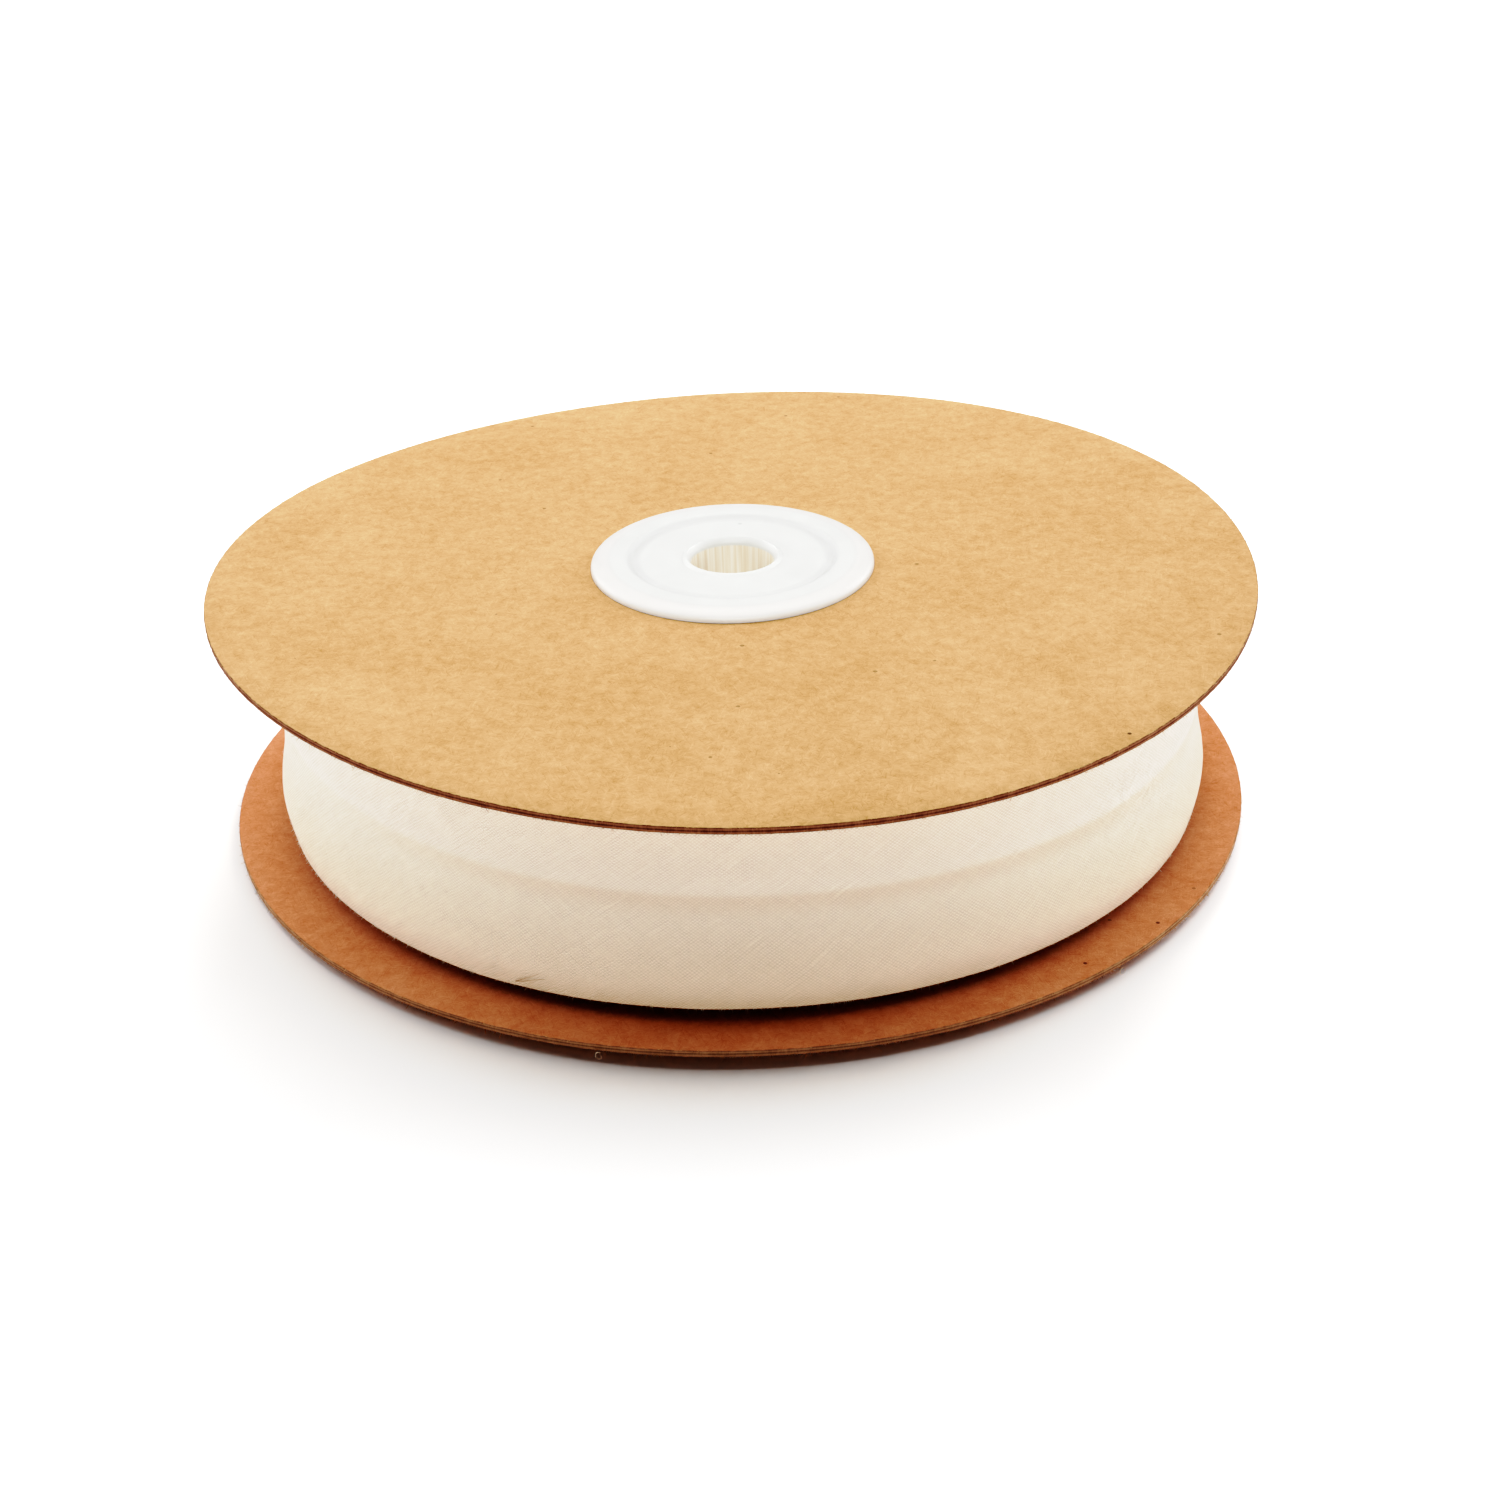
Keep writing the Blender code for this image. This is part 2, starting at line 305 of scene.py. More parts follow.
# Softboxes: where each hangs, its power, its width and height in metres, what it aims at and its tint
SIDE = dict(size=(0.8, 0.6), aim=(0.0, 0.0, 0.02), tint=(0.97, 1.0, 1.03))
TAPE_SIDE = dict(size=(0.6, 0.3), aim=(0.0, 0.0, 0.01), tint=(0.90, 0.97, 1.0))
WASH_TINT = (0.98, 0.99, 1.0)
TOP_SOFTBOX = dict(place=(0.0, 0.25, 0.9), watts=8.1, size=(1.0, 1.0))
LEFT_SOFTBOX = dict(place=(-0.8, 0.45, 0.45), watts=7.8, **SIDE)
RIGHT_SOFTBOX = dict(place=(0.8, 0.45, 0.45), watts=7.6, **SIDE)
FLOOR_WASH = dict(place=(0.2, 0.5, 1.0), watts=12.5, size=(1.4, 1.4), tint=WASH_TINT)
LOW_WASH = dict(place=(0.25, 1.15, 0.42), watts=22.0, size=(0.5, 0.3), tint=WASH_TINT)
TAPE_FILL = dict(
    place=(0.0, -1.0, 0.16), watts=3.2, size=(1.2, 0.3), aim=(0.0, 0.0, 0.01), tint=(1.0, 0.80, 0.54)
)
TAPE_LEFT = dict(place=(-1.0, 0.2, 0.3), watts=6.2, **TAPE_SIDE)
TAPE_RIGHT = dict(place=(1.0, 0.2, 0.3), watts=4.6, **TAPE_SIDE)
HUB_FILL = dict(
    place=(0.0, -0.8, 0.6), watts=8.5, size=(0.8, 0.3), aim=(0.0, 0.0, 0.03), tint=(0.96, 1.0, 1.0)
)


def swept_mesh(name, points, uvs, closed):
    """A surface through points[section, corner]; every section is a closed outline."""
    sections, corners = points.shape[:2]
    spans = sections if closed else sections - 1
    first = np.repeat(np.arange(spans), corners)
    corner = np.tile(np.arange(corners), spans)
    after = (first + 1) % sections
    next_corner = (corner + 1) % corners
    quad = [(first, corner), (after, corner), (after, next_corner), (first, next_corner)]
    faces = np.stack([section * corners + place for section, place in quad], 1).tolist()
    uv_quad = [(first, corner), (first + 1, corner), (first + 1, corner + 1), (first, corner + 1)]
    coords = np.stack([uvs[section, place] for section, place in uv_quad], 1).reshape(-1, 2)
    if not closed:
        faces.append(list(range(corners)))
        faces.append([(sections - 1) * corners + n for n in range(corners)])
        coords = np.concatenate([coords, uvs[0, :corners], uvs[sections - 1, :corners]])
    data = bpy.data.meshes.new(name)
    data.from_pydata(points.reshape(-1, 3).tolist(), [], faces)
    layer = data.uv_layers.new(name="cloth")
    layer.data.foreach_set("uv", coords.ravel())
    mesh = bmesh.new()
    mesh.from_mesh(data)
    bmesh.ops.recalc_face_normals(mesh, faces=mesh.faces)
    mesh.to_mesh(data)
    mesh.free()
    return data


def add_piece(name, data, material, nodes=(), smooth_angle=50.0):
    """A visible piece that rides on the reel and stands for the given nodes."""
    data.materials.append(material)
    data.shade_smooth()
    data.set_sharp_from_angle(angle=radians(smooth_angle))
    piece = bpy.data.objects.new(name, data)
    bpy.context.scene.collection.objects.link(piece)
    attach(piece, "root")
    if nodes:
        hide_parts(*nodes)
    return piece


def join_meshes(name, parts):
    joined = bmesh.new()
    for part in parts:
        joined.from_mesh(part)
    data = bpy.data.meshes.new(name)
    joined.to_mesh(data)
    joined.free()
    return data


def lathe(name, radius, height, segments, move):
    """Turns an outline round +Z; move(x, y, z) shifts the points. UV is arc length and outline length."""
    angle = 2 * pi * np.arange(segments) / segments
    x = radius[None, :] * np.cos(angle)[:, None]
    y = radius[None, :] * np.sin(angle)[:, None]
    z = np.repeat(height[None, :], segments, 0)
    points = np.stack(move(x, y, z), 2)
    outline = np.stack([radius, height], 1)
    steps = np.linalg.norm(np.diff(np.vstack([outline, outline[:1]]), axis=0), axis=1)
    length = np.concatenate([[0.0], np.cumsum(steps)])
    around = 2 * pi * np.arange(segments + 1) / segments * radius.max()
    uvs = np.stack(np.meshgrid(around, length, indexing="ij"), 2)
    return swept_mesh(name, points, uvs, True)


def noise_field(points, size, seed):
    """Perlin noise of a grain size at each point of an (n, 3) array."""
    shift = Vector((seed * 3.17, seed * 1.31, seed * 7.73))
    return np.array([noise.noise(Vector(p) * (1 / size) + shift) for p in points])


def ease(start, end, share):
    """A smooth step from start to end."""
    return start + (end - start) * share * share * (3 - 2 * share)


class Card:
    """One card flange: where it sits and how it has curled."""

    def __init__(self, bottom, hole_radius, warp, high_side, shift=Vector(), lean=0.0, lean_side=0.0):
        self.bottom = bottom
        self.top = bottom + CARD_THICKNESS
        self.hole_radius = hole_radius
        self.warp = warp
        self.high_side = high_side
        self.shift = shift
        self.lean = lean
        self.lean_side = lean_side

    def place(self, x, y, z):
        reach = (np.hypot(x, y) - CURL_START_RADIUS) / (REEL_RADIUS - CURL_START_RADIUS)
        reach = np.clip(reach, 0.0, None)
        angle = np.arctan2(y, x)
        lift = self.warp * reach**2 * np.cos(2 * (angle - self.high_side))
        lift = lift + self.lean * reach * np.cos(angle - self.lean_side)
        return x + self.shift.x, y + self.shift.y, z + lift


UPPER_CARD = Card(
    UPPER_CARD_TOP - CARD_THICKNESS, UPPER_CARD_HOLE_RADIUS, UPPER_CARD_WARP, UPPER_CARD_HIGH_SIDE
)
LOWER_CARD = Card(
    LOWER_CARD_BOTTOM,
    LOWER_CARD_HOLE_RADIUS,
    LOWER_CARD_WARP,
    LOWER_CARD_HIGH_SIDE,
    LOWER_CARD_SHIFT,
    LOWER_CARD_LEAN,
    LOWER_CARD_LEAN_SIDE,
)


def make_card(name, node, card, material, seed):
    """A die-cut card ring: rounded corners, a rim of plies with a rough cut, and the curl of the CAD."""
    top, bottom = card.top, card.bottom
    out = np.linspace(card.hole_radius, REEL_RADIUS - CARD_EDGE_ROUND, CARD_FACE_ROWS)
    turn = np.linspace(pi / 2, 0, CARD_CORNER_STEPS + 1)[1:]
    rim = np.linspace(0, 1, CARD_RIM_ROWS)[1:-1]
    corner_r = REEL_RADIUS - CARD_EDGE_ROUND + CARD_EDGE_ROUND * np.cos(turn)
    corner_z = top - CARD_EDGE_ROUND + CARD_EDGE_ROUND * np.sin(turn)
    rim_z = top - CARD_EDGE_ROUND - (CARD_THICKNESS - 2 * CARD_EDGE_ROUND) * rim
    rim_r = REEL_RADIUS - PLY_BULGE * np.cos(2 * pi * CARD_PLIES * rim)
    radius = np.concatenate([out, corner_r, rim_r, corner_r[::-1], out[::-1]])
    upper = np.full(out.size, top)
    lower = np.full(out.size, bottom)
    height = np.concatenate([upper, corner_z, rim_z, top + bottom - corner_z[::-1], lower])
    ply = (top - height) / CARD_THICKNESS
    on_rim = np.zeros(radius.size)
    on_rim[out.size : radius.size - out.size] = 1.0
    rows = np.flatnonzero(on_rim)

    def move(x, y, z):
        picked = np.stack([x, y, z * RIM_GRAIN_SQUASH], 2)[:, rows].reshape(-1, 3)
        rough = noise_field(picked, RIM_COARSE_GRAIN, seed)
        rough += RIM_FINE_SHARE * noise_field(picked, RIM_FINE_GRAIN, seed + 1)
        scale = np.ones(x.shape)
        scale[:, rows] += rough.reshape(x.shape[0], -1) * RIM_ROUGHNESS / REEL_RADIUS
        spots = np.stack([x, y, z], 2)[:, : out.size].reshape(-1, 3)
        ripple = noise_field(spots, FACE_WAVE_LENGTH, seed + 2).reshape(x.shape[0], -1)
        wave = np.repeat(ripple[:, -1:], x.shape[1], 1)
        wave[:, : out.size] = ripple
        wave[:, -out.size :] = ripple[:, ::-1]
        reach = np.clip((np.hypot(x, y) - CURL_START_RADIUS) / FACE_WAVE_RAMP, 0.0, 1.0)
        return card.place(x * scale, y * scale, z + FACE_WAVE * wave * reach)

    data = lathe(name, radius, height, CARD_SEGMENTS, move)
    for layer, values in (("ply", ply), ("rim", on_rim)):
        attribute = data.attributes.new(layer, "FLOAT", "POINT")
        attribute.data.foreach_set("value", np.tile(values, CARD_SEGMENTS))
    return add_piece(name, data, material, [node])


def flange_face():
    """Relief of a hub flange from rim to spindle hole, as radius and rise over the card."""
    t = np.linspace(0, 1, SLOPE_STEPS)
    bead = np.linspace(0, pi / 2, BEAD_STEPS)
    bead_r = CREST_OUTER_RADIUS + (HUB_RADIUS - CREST_OUTER_RADIUS) * np.cos(bead)
    bead_z = RIM_RISE + (HUB_RISE - RIM_RISE) * np.sin(bead)
    groove_r = CREST_INNER_RADIUS + (GROOVE_RADIUS - CREST_INNER_RADIUS) * t
    plate_r = GROOVE_RADIUS + (PLATE_RADIUS - GROOVE_RADIUS) * t[1:]
    flat_r = np.linspace(PLATE_RADIUS, COLLAR_FOOT_RADIUS, PLATE_STEPS)[1:]
    collar_r = COLLAR_FOOT_RADIUS + (COLLAR_CREST_RADIUS - COLLAR_FOOT_RADIUS) * t[1:]
    lip = np.linspace(0, 1, LIP_STEPS)[1:]
    lip_r = COLLAR_CREST_RADIUS - (COLLAR_CREST_RADIUS - MOUTH_RADIUS) * lip
    lip_z = COLLAR_RISE - LIP_DEPTH * lip**LIP_CURVE
    radius = np.concatenate([bead_r, [CREST_FLAT_RADIUS], groove_r, plate_r, flat_r, collar_r, lip_r])
    groove_z = ease(HUB_RISE, GROOVE_RISE, t)
    plate_z = ease(GROOVE_RISE, PLATE_RISE, t[1:])
    flat_z = np.full(flat_r.size, PLATE_RISE)
    collar_z = ease(PLATE_RISE, COLLAR_RISE, t[1:])
    return radius, np.concatenate([bead_z, [HUB_RISE], groove_z, plate_z, flat_z, collar_z, lip_z])


def make_hub_half(name, node, face_base, sign, lift, sleeve, material):
    """A hub half: sign is 1 if it faces up and -1 if down; sleeve is its ring, as radii and a far end."""
    radius, rise = flange_face()
    rise = rise + lift * np.clip((rise - RIM_RISE) / LIFT_RAMP, 0.0, 1.0)
    seam = MID_HEIGHT + sign * SEAT_GAP / 2
    plate = face_base + sign * SEAT_GAP
    skirt = face_base + sign * SKIRT_GAP
    tube = SPINDLE_RADIUS + SPINDLE_TUBE_WALL
    sleeve_inner, sleeve_outer, sleeve_end = sleeve
    inside = [
        (SPINDLE_RADIUS, seam),
        (tube, seam),
        (tube, plate),
        (sleeve_inner, plate),
        (sleeve_inner, sleeve_end),
        (sleeve_outer, sleeve_end),
        (sleeve_outer, plate),
        (HUB_RADIUS - SKIRT_WIDTH, plate),
        (HUB_RADIUS - SKIRT_WIDTH, skirt),
        (HUB_RADIUS, skirt),
    ]
    inner_r, inner_z = np.array(inside).T
    outline_r = np.concatenate([radius, inner_r])
    outline_z = np.concatenate([face_base + sign * rise, inner_z])

    def move(x, y, z):
        return x + HUB_SHIFT.x, y + HUB_SHIFT.y, z

    data = lathe(name, outline_r, outline_z, HUB_SEGMENTS, move)
    return add_piece(name, data, material, [node], HUB_SMOOTH_ANGLE)


def make_hub(material):
    """Both halves: the spigot of the upper one fits in the barrel of the lower one."""
    bore = BARREL_RADIUS - BARREL_WALL
    spigot_radius = bore - SEAT_GAP
    spigot_end = UPPER_CARD_TOP + SEAT_GAP - SPIGOT_LENGTH
    spigot = (spigot_radius - SPIGOT_WALL, spigot_radius, spigot_end)
    barrel = (bore, BARREL_RADIUS, UPPER_CARD_TOP - CARD_THICKNESS - SEAT_GAP)
    return [
        make_hub_half("hub_cap_upper", "hub_upper", UPPER_CARD_TOP, 1, UPPER_HUB_LIFT, spigot, material),
        make_hub_half("hub_barrel_lower", "hub_lower", LOWER_CARD_BOTTOM, -1, 0.0, barrel, material),
    ]


def tape_face_radius(height, angle):
    """Outer radius of the winding at a height above its lower fold edge; height and angle are arrays."""
    bulge = LOW_BULGE * np.exp(-(((height - LOW_BULGE_HEIGHT) / LOW_BULGE_SPREAD) ** 2))
    dip_height = MIDDLE_DIP_HEIGHT + MIDDLE_DIP_WANDER * np.cos(angle - MIDDLE_DIP_HIGH_SIDE)
    above = height - dip_height
    spread = np.where(above > 0, MIDDLE_DIP_SPREAD_ABOVE, MIDDLE_DIP_SPREAD_BELOW)
    return TAPE_RADIUS + bulge - MIDDLE_DIP * np.exp(-((above / spread) ** 2))


def shifted(x, y):
    """The winding has grown a little more on one side."""
    inner = BARREL_RADIUS + SEAT_GAP
    reach = np.clip((np.hypot(x, y) - inner) / (TAPE_RADIUS - inner), 0, None)
    return x + TAPE_SHIFT * reach


def winding_noise(angle, level, turn_radius, seed):
    """Noise that runs round the reel without a seam, in the shape of the array of angles."""
    spots = np.stack([np.cos(angle) * turn_radius, np.sin(angle) * turn_radius, level], -1)
    return noise_field(spots.reshape(-1, 3), 1.0, seed).reshape(angle.shape)


def last_turn():
    """The outermost turn: folded tape that ends on top of its own start."""
    fold = TAPE_FOLD_RADIUS
    heights = np.linspace(TAPE_WIDTH - fold, fold, FACE_ROWS)
    middle = MIDDLE_DIP_HEIGHT
    gap = RAW_EDGE_GAP / 2
    inner_heights = [fold, middle * 0.5, middle - gap, middle - gap, middle + gap, middle + gap]
    inner_heights += [(middle + TAPE_WIDTH) / 2, TAPE_WIDTH - fold]
    inner_depths = [1.0, 1.0, 1.0, 0.5, 0.5, 1.0, 1.0, 1.0]
    turn = np.linspace(0, pi, FOLD_STEPS)[1:-1]
    lower_fold = fold - fold * np.sin(turn)
    height = np.concatenate([heights, lower_fold, inner_heights, TAPE_WIDTH - lower_fold])
    fold_depth = 0.5 - 0.5 * np.cos(turn)
    depth = np.concatenate([np.zeros(FACE_ROWS), fold_depth, inner_depths, 1 - fold_depth])
    sweep = np.linspace(0, 2 * pi + FREE_END_OVERLAP, STRIP_STEPS)
    angle = FREE_END_ANGLE + sweep
    a, h = np.meshgrid(angle, height, indexing="ij")
    s, d = np.meshgrid(sweep, depth, indexing="ij")
    pucker = winding_noise(a, h / PUCKER_HEIGHT, PUCKER_TURN_RADIUS, SEED)
    fine = winding_noise(a, h / FINE_PUCKER_HEIGHT, FINE_PUCKER_TURN_RADIUS, SEED + 1)
    radius = tape_face_radius(np.clip(h, fold, TAPE_WIDTH - fold), a)
    radius = radius + PUCKER * (pucker + FINE_PUCKER_SHARE * fine)
    radius = radius + TAPE_THICKNESS * (s / (2 * pi) - 0.5 - d)
    climb = sweep * EDGE_WANDER_CLIMB
    wander = EDGE_WANDER * winding_noise(angle, climb, EDGE_WANDER_TURN_RADIUS, SEED + 2)
    x = radius * np.cos(a)
    y = radius * np.sin(a)
    z = TAPE_BOTTOM + h + wander[:, None]
    points = np.stack([shifted(x, y), y, z], 2)
    along = sweep * TAPE_RADIUS
    across = np.append(height, height[0])
    u, v = np.meshgrid(np.append(along, along[-1]), across, indexing="ij")
    return swept_mesh("last_turn", points, np.stack([u, v], 2), False)


def wound_body():
    """The turns under the last one: a ring whose ends show the fold edge of each outer turn."""
    outer = WOUND_BODY_RADIUS
    inner = BARREL_RADIUS + SEAT_GAP
    steps = np.arange(RIDGE_STEPS * RIDGED_TURNS + 1)
    ridge_r = outer - TAPE_THICKNESS * steps / RIDGE_STEPS
    ridge_drop = RIDGE_DROP * (1 - np.abs(np.sin(pi * (steps / RIDGE_STEPS + RIDGE_PHASE))))
    turn_index = steps // RIDGE_STEPS
    flat_r = np.linspace(ridge_r[-1], inner, FLAT_END_ROWS)[1:]
    side_h = np.linspace(TAPE_WIDTH, 0, FACE_ROWS)[1:-1]
    side_r = np.full(side_h.size, outer)
    flat = np.full(flat_r.size, FLAT_END_DROP)
    radius = np.concatenate([side_r, ridge_r, flat_r, flat_r[::-1], ridge_r[::-1]])
    lower = np.concatenate([ridge_drop, flat])
    height = np.concatenate([side_h, lower, TAPE_WIDTH - lower[::-1]])
    on_side = np.full(side_h.size, UNRIDGED)
    on_flat = np.full(2 * flat_r.size, UNRIDGED)
    index = np.concatenate([on_side, turn_index, on_flat, UPPER_END_TURNS + turn_index[::-1]])
    near_face = np.clip((radius - (outer - SWELL_DEPTH)) / SWELL_DEPTH, 0, 1)

    def move(x, y, z):
        angle = np.arctan2(y[:, 0], x[:, 0])
        wander = np.zeros(x.shape)
        for turn in np.unique(index[index >= 0]):
            level = np.full(angle.size, turn * NEXT_TURN_CLIMB)
            drift = EDGE_WANDER * winding_noise(angle, level, EDGE_WANDER_TURN_RADIUS, SEED + 5)
            wander[:, index == turn] = drift[:, None]
        swell = tape_face_radius(np.clip(z, 0, TAPE_WIDTH), angle[:, None]) - TAPE_RADIUS
        scale = 1 + swell * near_face / radius
        x, y = x * scale, y * scale
        return shifted(x, y), y, TAPE_BOTTOM + z + wander

    return lathe("wound_body", radius, height, ROLL_SEGMENTS, move)


def make_tape(material):
    data = join_meshes("tape_winding", [wound_body(), last_turn()])
    return add_piece("tape_winding", data, material, ["tape_roll"])


def fibre_mesh(name, paths, thickness):
    """Thin three-sided strands along paths[strand, step, xyz]; thickness is one number a strand."""
    count, steps = paths.shape[:2]
    way = np.gradient(paths, axis=1)
    way /= np.linalg.norm(way, axis=2, keepdims=True)
    side = np.cross(way, np.array([0.31, 0.42, 0.85]))
    side /= np.linalg.norm(side, axis=2, keepdims=True)
    other = np.cross(way, side)
    taper = np.linspace(1.0, FIBRE_TIP_SHARE, steps)[None, :, None] * thickness[:, None, None] / 2
    corners = [paths + taper * (side * cos(t) + other * sin(t)) for t in (0.0, 2 * pi / 3, 4 * pi / 3)]
    points = np.stack(corners, 2).reshape(-1, 3)
    faces = []
    for strand in range(count):
        base = strand * steps * 3
        for step in range(steps - 1):
            at = base + step * 3
            for n in range(3):
                m = (n + 1) % 3
                faces.append((at + n, at + m, at + 3 + m, at + 3 + n))
        end = base + (steps - 1) * 3
        faces.append((base + 2, base + 1, base))
        faces.append((end, end + 1, end + 2))
    data = bpy.data.meshes.new(name)
    data.from_pydata(points.tolist(), [], faces)
    return data


def curled_paths(roots, ways, lengths, curl, draws):
    """Strands that leave their roots along ways and bend sideways as they go."""
    share = np.linspace(0, 1, FIBRE_STEPS)[None, :, None]
    bend = draws.normal(0, 1, (len(roots), 1, 3))
    reach = lengths[:, None, None]
    return roots[:, None, :] + reach * (share * ways[:, None, :] + curl * share**2 * bend)


def reel_ways(angle):
    """Unit vectors out from the axis, round the reel and up, at an array of angles."""
    flat = np.zeros(angle.size)
    out = np.stack([np.cos(angle), np.sin(angle), flat], 1)
    around = np.stack([-np.sin(angle), np.cos(angle), flat], 1)
    return out, around, np.array([[0.0, 0.0, 1.0]])


def unit(ways):
    return ways / np.linalg.norm(ways, axis=1, keepdims=True)


def make_tape_fibres(material):
    """Fuzz on the folded edges of the outer turn and a few hairs lying on its face."""
    draws = np.random.default_rng(SEED)
    count = EDGE_FUZZ_COUNT + FACE_HAIR_COUNT
    on_edge = np.arange(count) < EDGE_FUZZ_COUNT
    angle = draws.uniform(0, 2 * pi, count)
    at_edge = np.where(draws.random(count) < LOWER_EDGE_SHARE, 0.0, TAPE_WIDTH)
    inward = np.where(at_edge > 0, -1.0, 1.0)
    edge_height = at_edge + inward * draws.uniform(*EDGE_FUZZ_HEIGHT, count)
    face_height = draws.uniform(FACE_HAIR_MARGIN, TAPE_WIDTH - FACE_HAIR_MARGIN, count)
    height = np.where(on_edge, edge_height, face_height)
    radius = tape_face_radius(height, angle) - EDGE_FUZZ_INSET * on_edge - TAPE_FIBRE_INSET
    x, y = radius * np.cos(angle), radius * np.sin(angle)
    roots = np.stack([shifted(x, y), y, TAPE_BOTTOM + height], 1)
    out, around, up = reel_ways(angle)
    outward, over_fold, sideways = EDGE_FUZZ_WAYS
    spread = draws.normal(0, sideways, (count, 1))
    edge_way = outward * out - inward[:, None] * over_fold * up + spread * around
    climb, sweep = draws.normal(0, 1, (2, count, 1))
    face_way = FACE_HAIR_OUT * out + climb * up + sweep * around
    ways = unit(np.where(on_edge[:, None], edge_way, face_way))
    edge_length = draws.gamma(EDGE_FUZZ_LENGTH_SHAPE, EDGE_FUZZ_LENGTH, count) + EDGE_FUZZ_LENGTH
    edge_length = np.minimum(edge_length, EDGE_FUZZ_LONGEST)
    lengths = np.where(on_edge, edge_length, draws.uniform(*FACE_HAIR_LENGTH, count))
    thickness = np.where(on_edge, draws.uniform(*EDGE_FUZZ_THICKNESS, count), FACE_HAIR_THICKNESS)
    paths = curled_paths(roots, ways, lengths, TAPE_FIBRE_CURL, draws)
    data = fibre_mesh("tape_fuzz", paths, thickness)
    return add_piece("tape_fuzz", data, material)


def make_card_fibres(name, card, material, seed):
    """Paper fuzz along the two cut edges of a card's rim."""
    draws = np.random.default_rng(seed)
    count = PAPER_FUZZ_COUNT
    angle = draws.uniform(0, 2 * pi, count)
    upper = draws.random(count) < 0.5
    level = np.where(upper, card.top - PAPER_FUZZ_EDGE, card.bottom + PAPER_FUZZ_EDGE)
    level = level + draws.normal(0, PAPER_FUZZ_EDGE, count)
    x, y, z = card.place(REEL_RADIUS * np.cos(angle), REEL_RADIUS * np.sin(angle), level)
    roots = np.stack([x, y, z], 1)
    out, around, up = reel_ways(angle)
    roots -= PAPER_FUZZ_INSET * out
    outward, off_face, sideways = PAPER_FUZZ_WAYS
    rise = np.where(upper, off_face, -off_face)[:, None]
    ways = unit(outward * out + rise * up + draws.normal(0, sideways, (count, 1)) * around)
    lengths = draws.gamma(PAPER_FUZZ_LENGTH_SHAPE, PAPER_FUZZ_LENGTH, count) + PAPER_FUZZ_SHORTEST
    thickness = draws.uniform(*PAPER_FUZZ_THICKNESS, count)
    paths = curled_paths(roots, ways, lengths, PAPER_FUZZ_CURL, draws)
    # The lower card's fuzz lies on the floor where it would reach below it
    paths[:, :, 2] = np.maximum(paths[:, :, 2], thickness[:, None])
    return add_piece(name, fibre_mesh(name, paths, thickness), material)


def smooth_route(points):
    """A rounded line of many points through a few, as an array."""
    points = np.array(points, float)
    share = np.linspace(0, len(points) - 1, ROUTE_STEPS)
    ends = np.concatenate([2 * points[:1] - points[1:2], points, 2 * points[-1:] - points[-2:-1]])
    step = np.minimum(share.astype(int), len(points) - 2)
    t = (share - step)[:, None]
    p0, p1, p2, p3 = (ends[step + n] for n in range(4))
    curve = 2 * p1 + (p2 - p0) * t + (2 * p0 - 5 * p1 + 4 * p2 - p3) * t**2
    return (curve + (3 * p1 - p0 - 3 * p2 + p3) * t**3) / 2


def on_tape(route, lift):
    """Places on the tape's face for a route of degrees and millimetres."""
    angle = np.radians(route[:, 0])
    height = route[:, 1] * MM
    radius = tape_face_radius(height, angle) + lift
    x, y = radius * np.cos(angle), radius * np.sin(angle)
    return np.stack([shifted(x, y), y, TAPE_BOTTOM + height], 1)


def add_strands(name, paths, thickness, material):
    """A few strands of one thickness, as a piece."""
    data = fibre_mesh(name, np.stack(paths), np.full(len(paths), thickness))
    add_piece(name, data, material)


def make_strays(brown, cream):
    """The forked brown fibre and the faint hair that lie on the tape."""
    arms = [on_tape(smooth_route(arm), STRAY_FIBRE_LIFT) for arm in STRAY_FIBRE_ARMS]
    add_strands("stray_fibre", arms, STRAY_FIBRE_THICKNESS, brown)
    hair = on_tape(smooth_route(FAINT_HAIR), FAINT_HAIR_LIFT)
    add_strands("faint_hair", [hair], FAINT_HAIR_THICKNESS, cream)


def make_rim_curls(material):
    """Two small loops of paper fibre that hang from the lower card's rim."""
    turn = np.linspace(*RIM_CURL_SWEEP, ROUTE_STEPS)
    curls = []
    for angle in np.radians(RIM_CURL_ANGLES):
        out, around, up = reel_ways(np.array([angle]))
        foot = LOWER_CARD.place(REEL_RADIUS * cos(angle), REEL_RADIUS * sin(angle), LOWER_CARD.bottom)
        centre = np.array(foot) + out * RIM_CURL_OUT - up * RIM_CURL_DROP
        loop = np.cos(turn)[:, None] * around + np.sin(turn)[:, None] * up
        spread = (turn - turn[0])[:, None] * RIM_CURL_SPREAD
        curls.append(centre + loop * RIM_CURL_RADIUS + out * spread)
    add_strands("rim_curls", curls, RIM_CURL_THICKNESS, material)


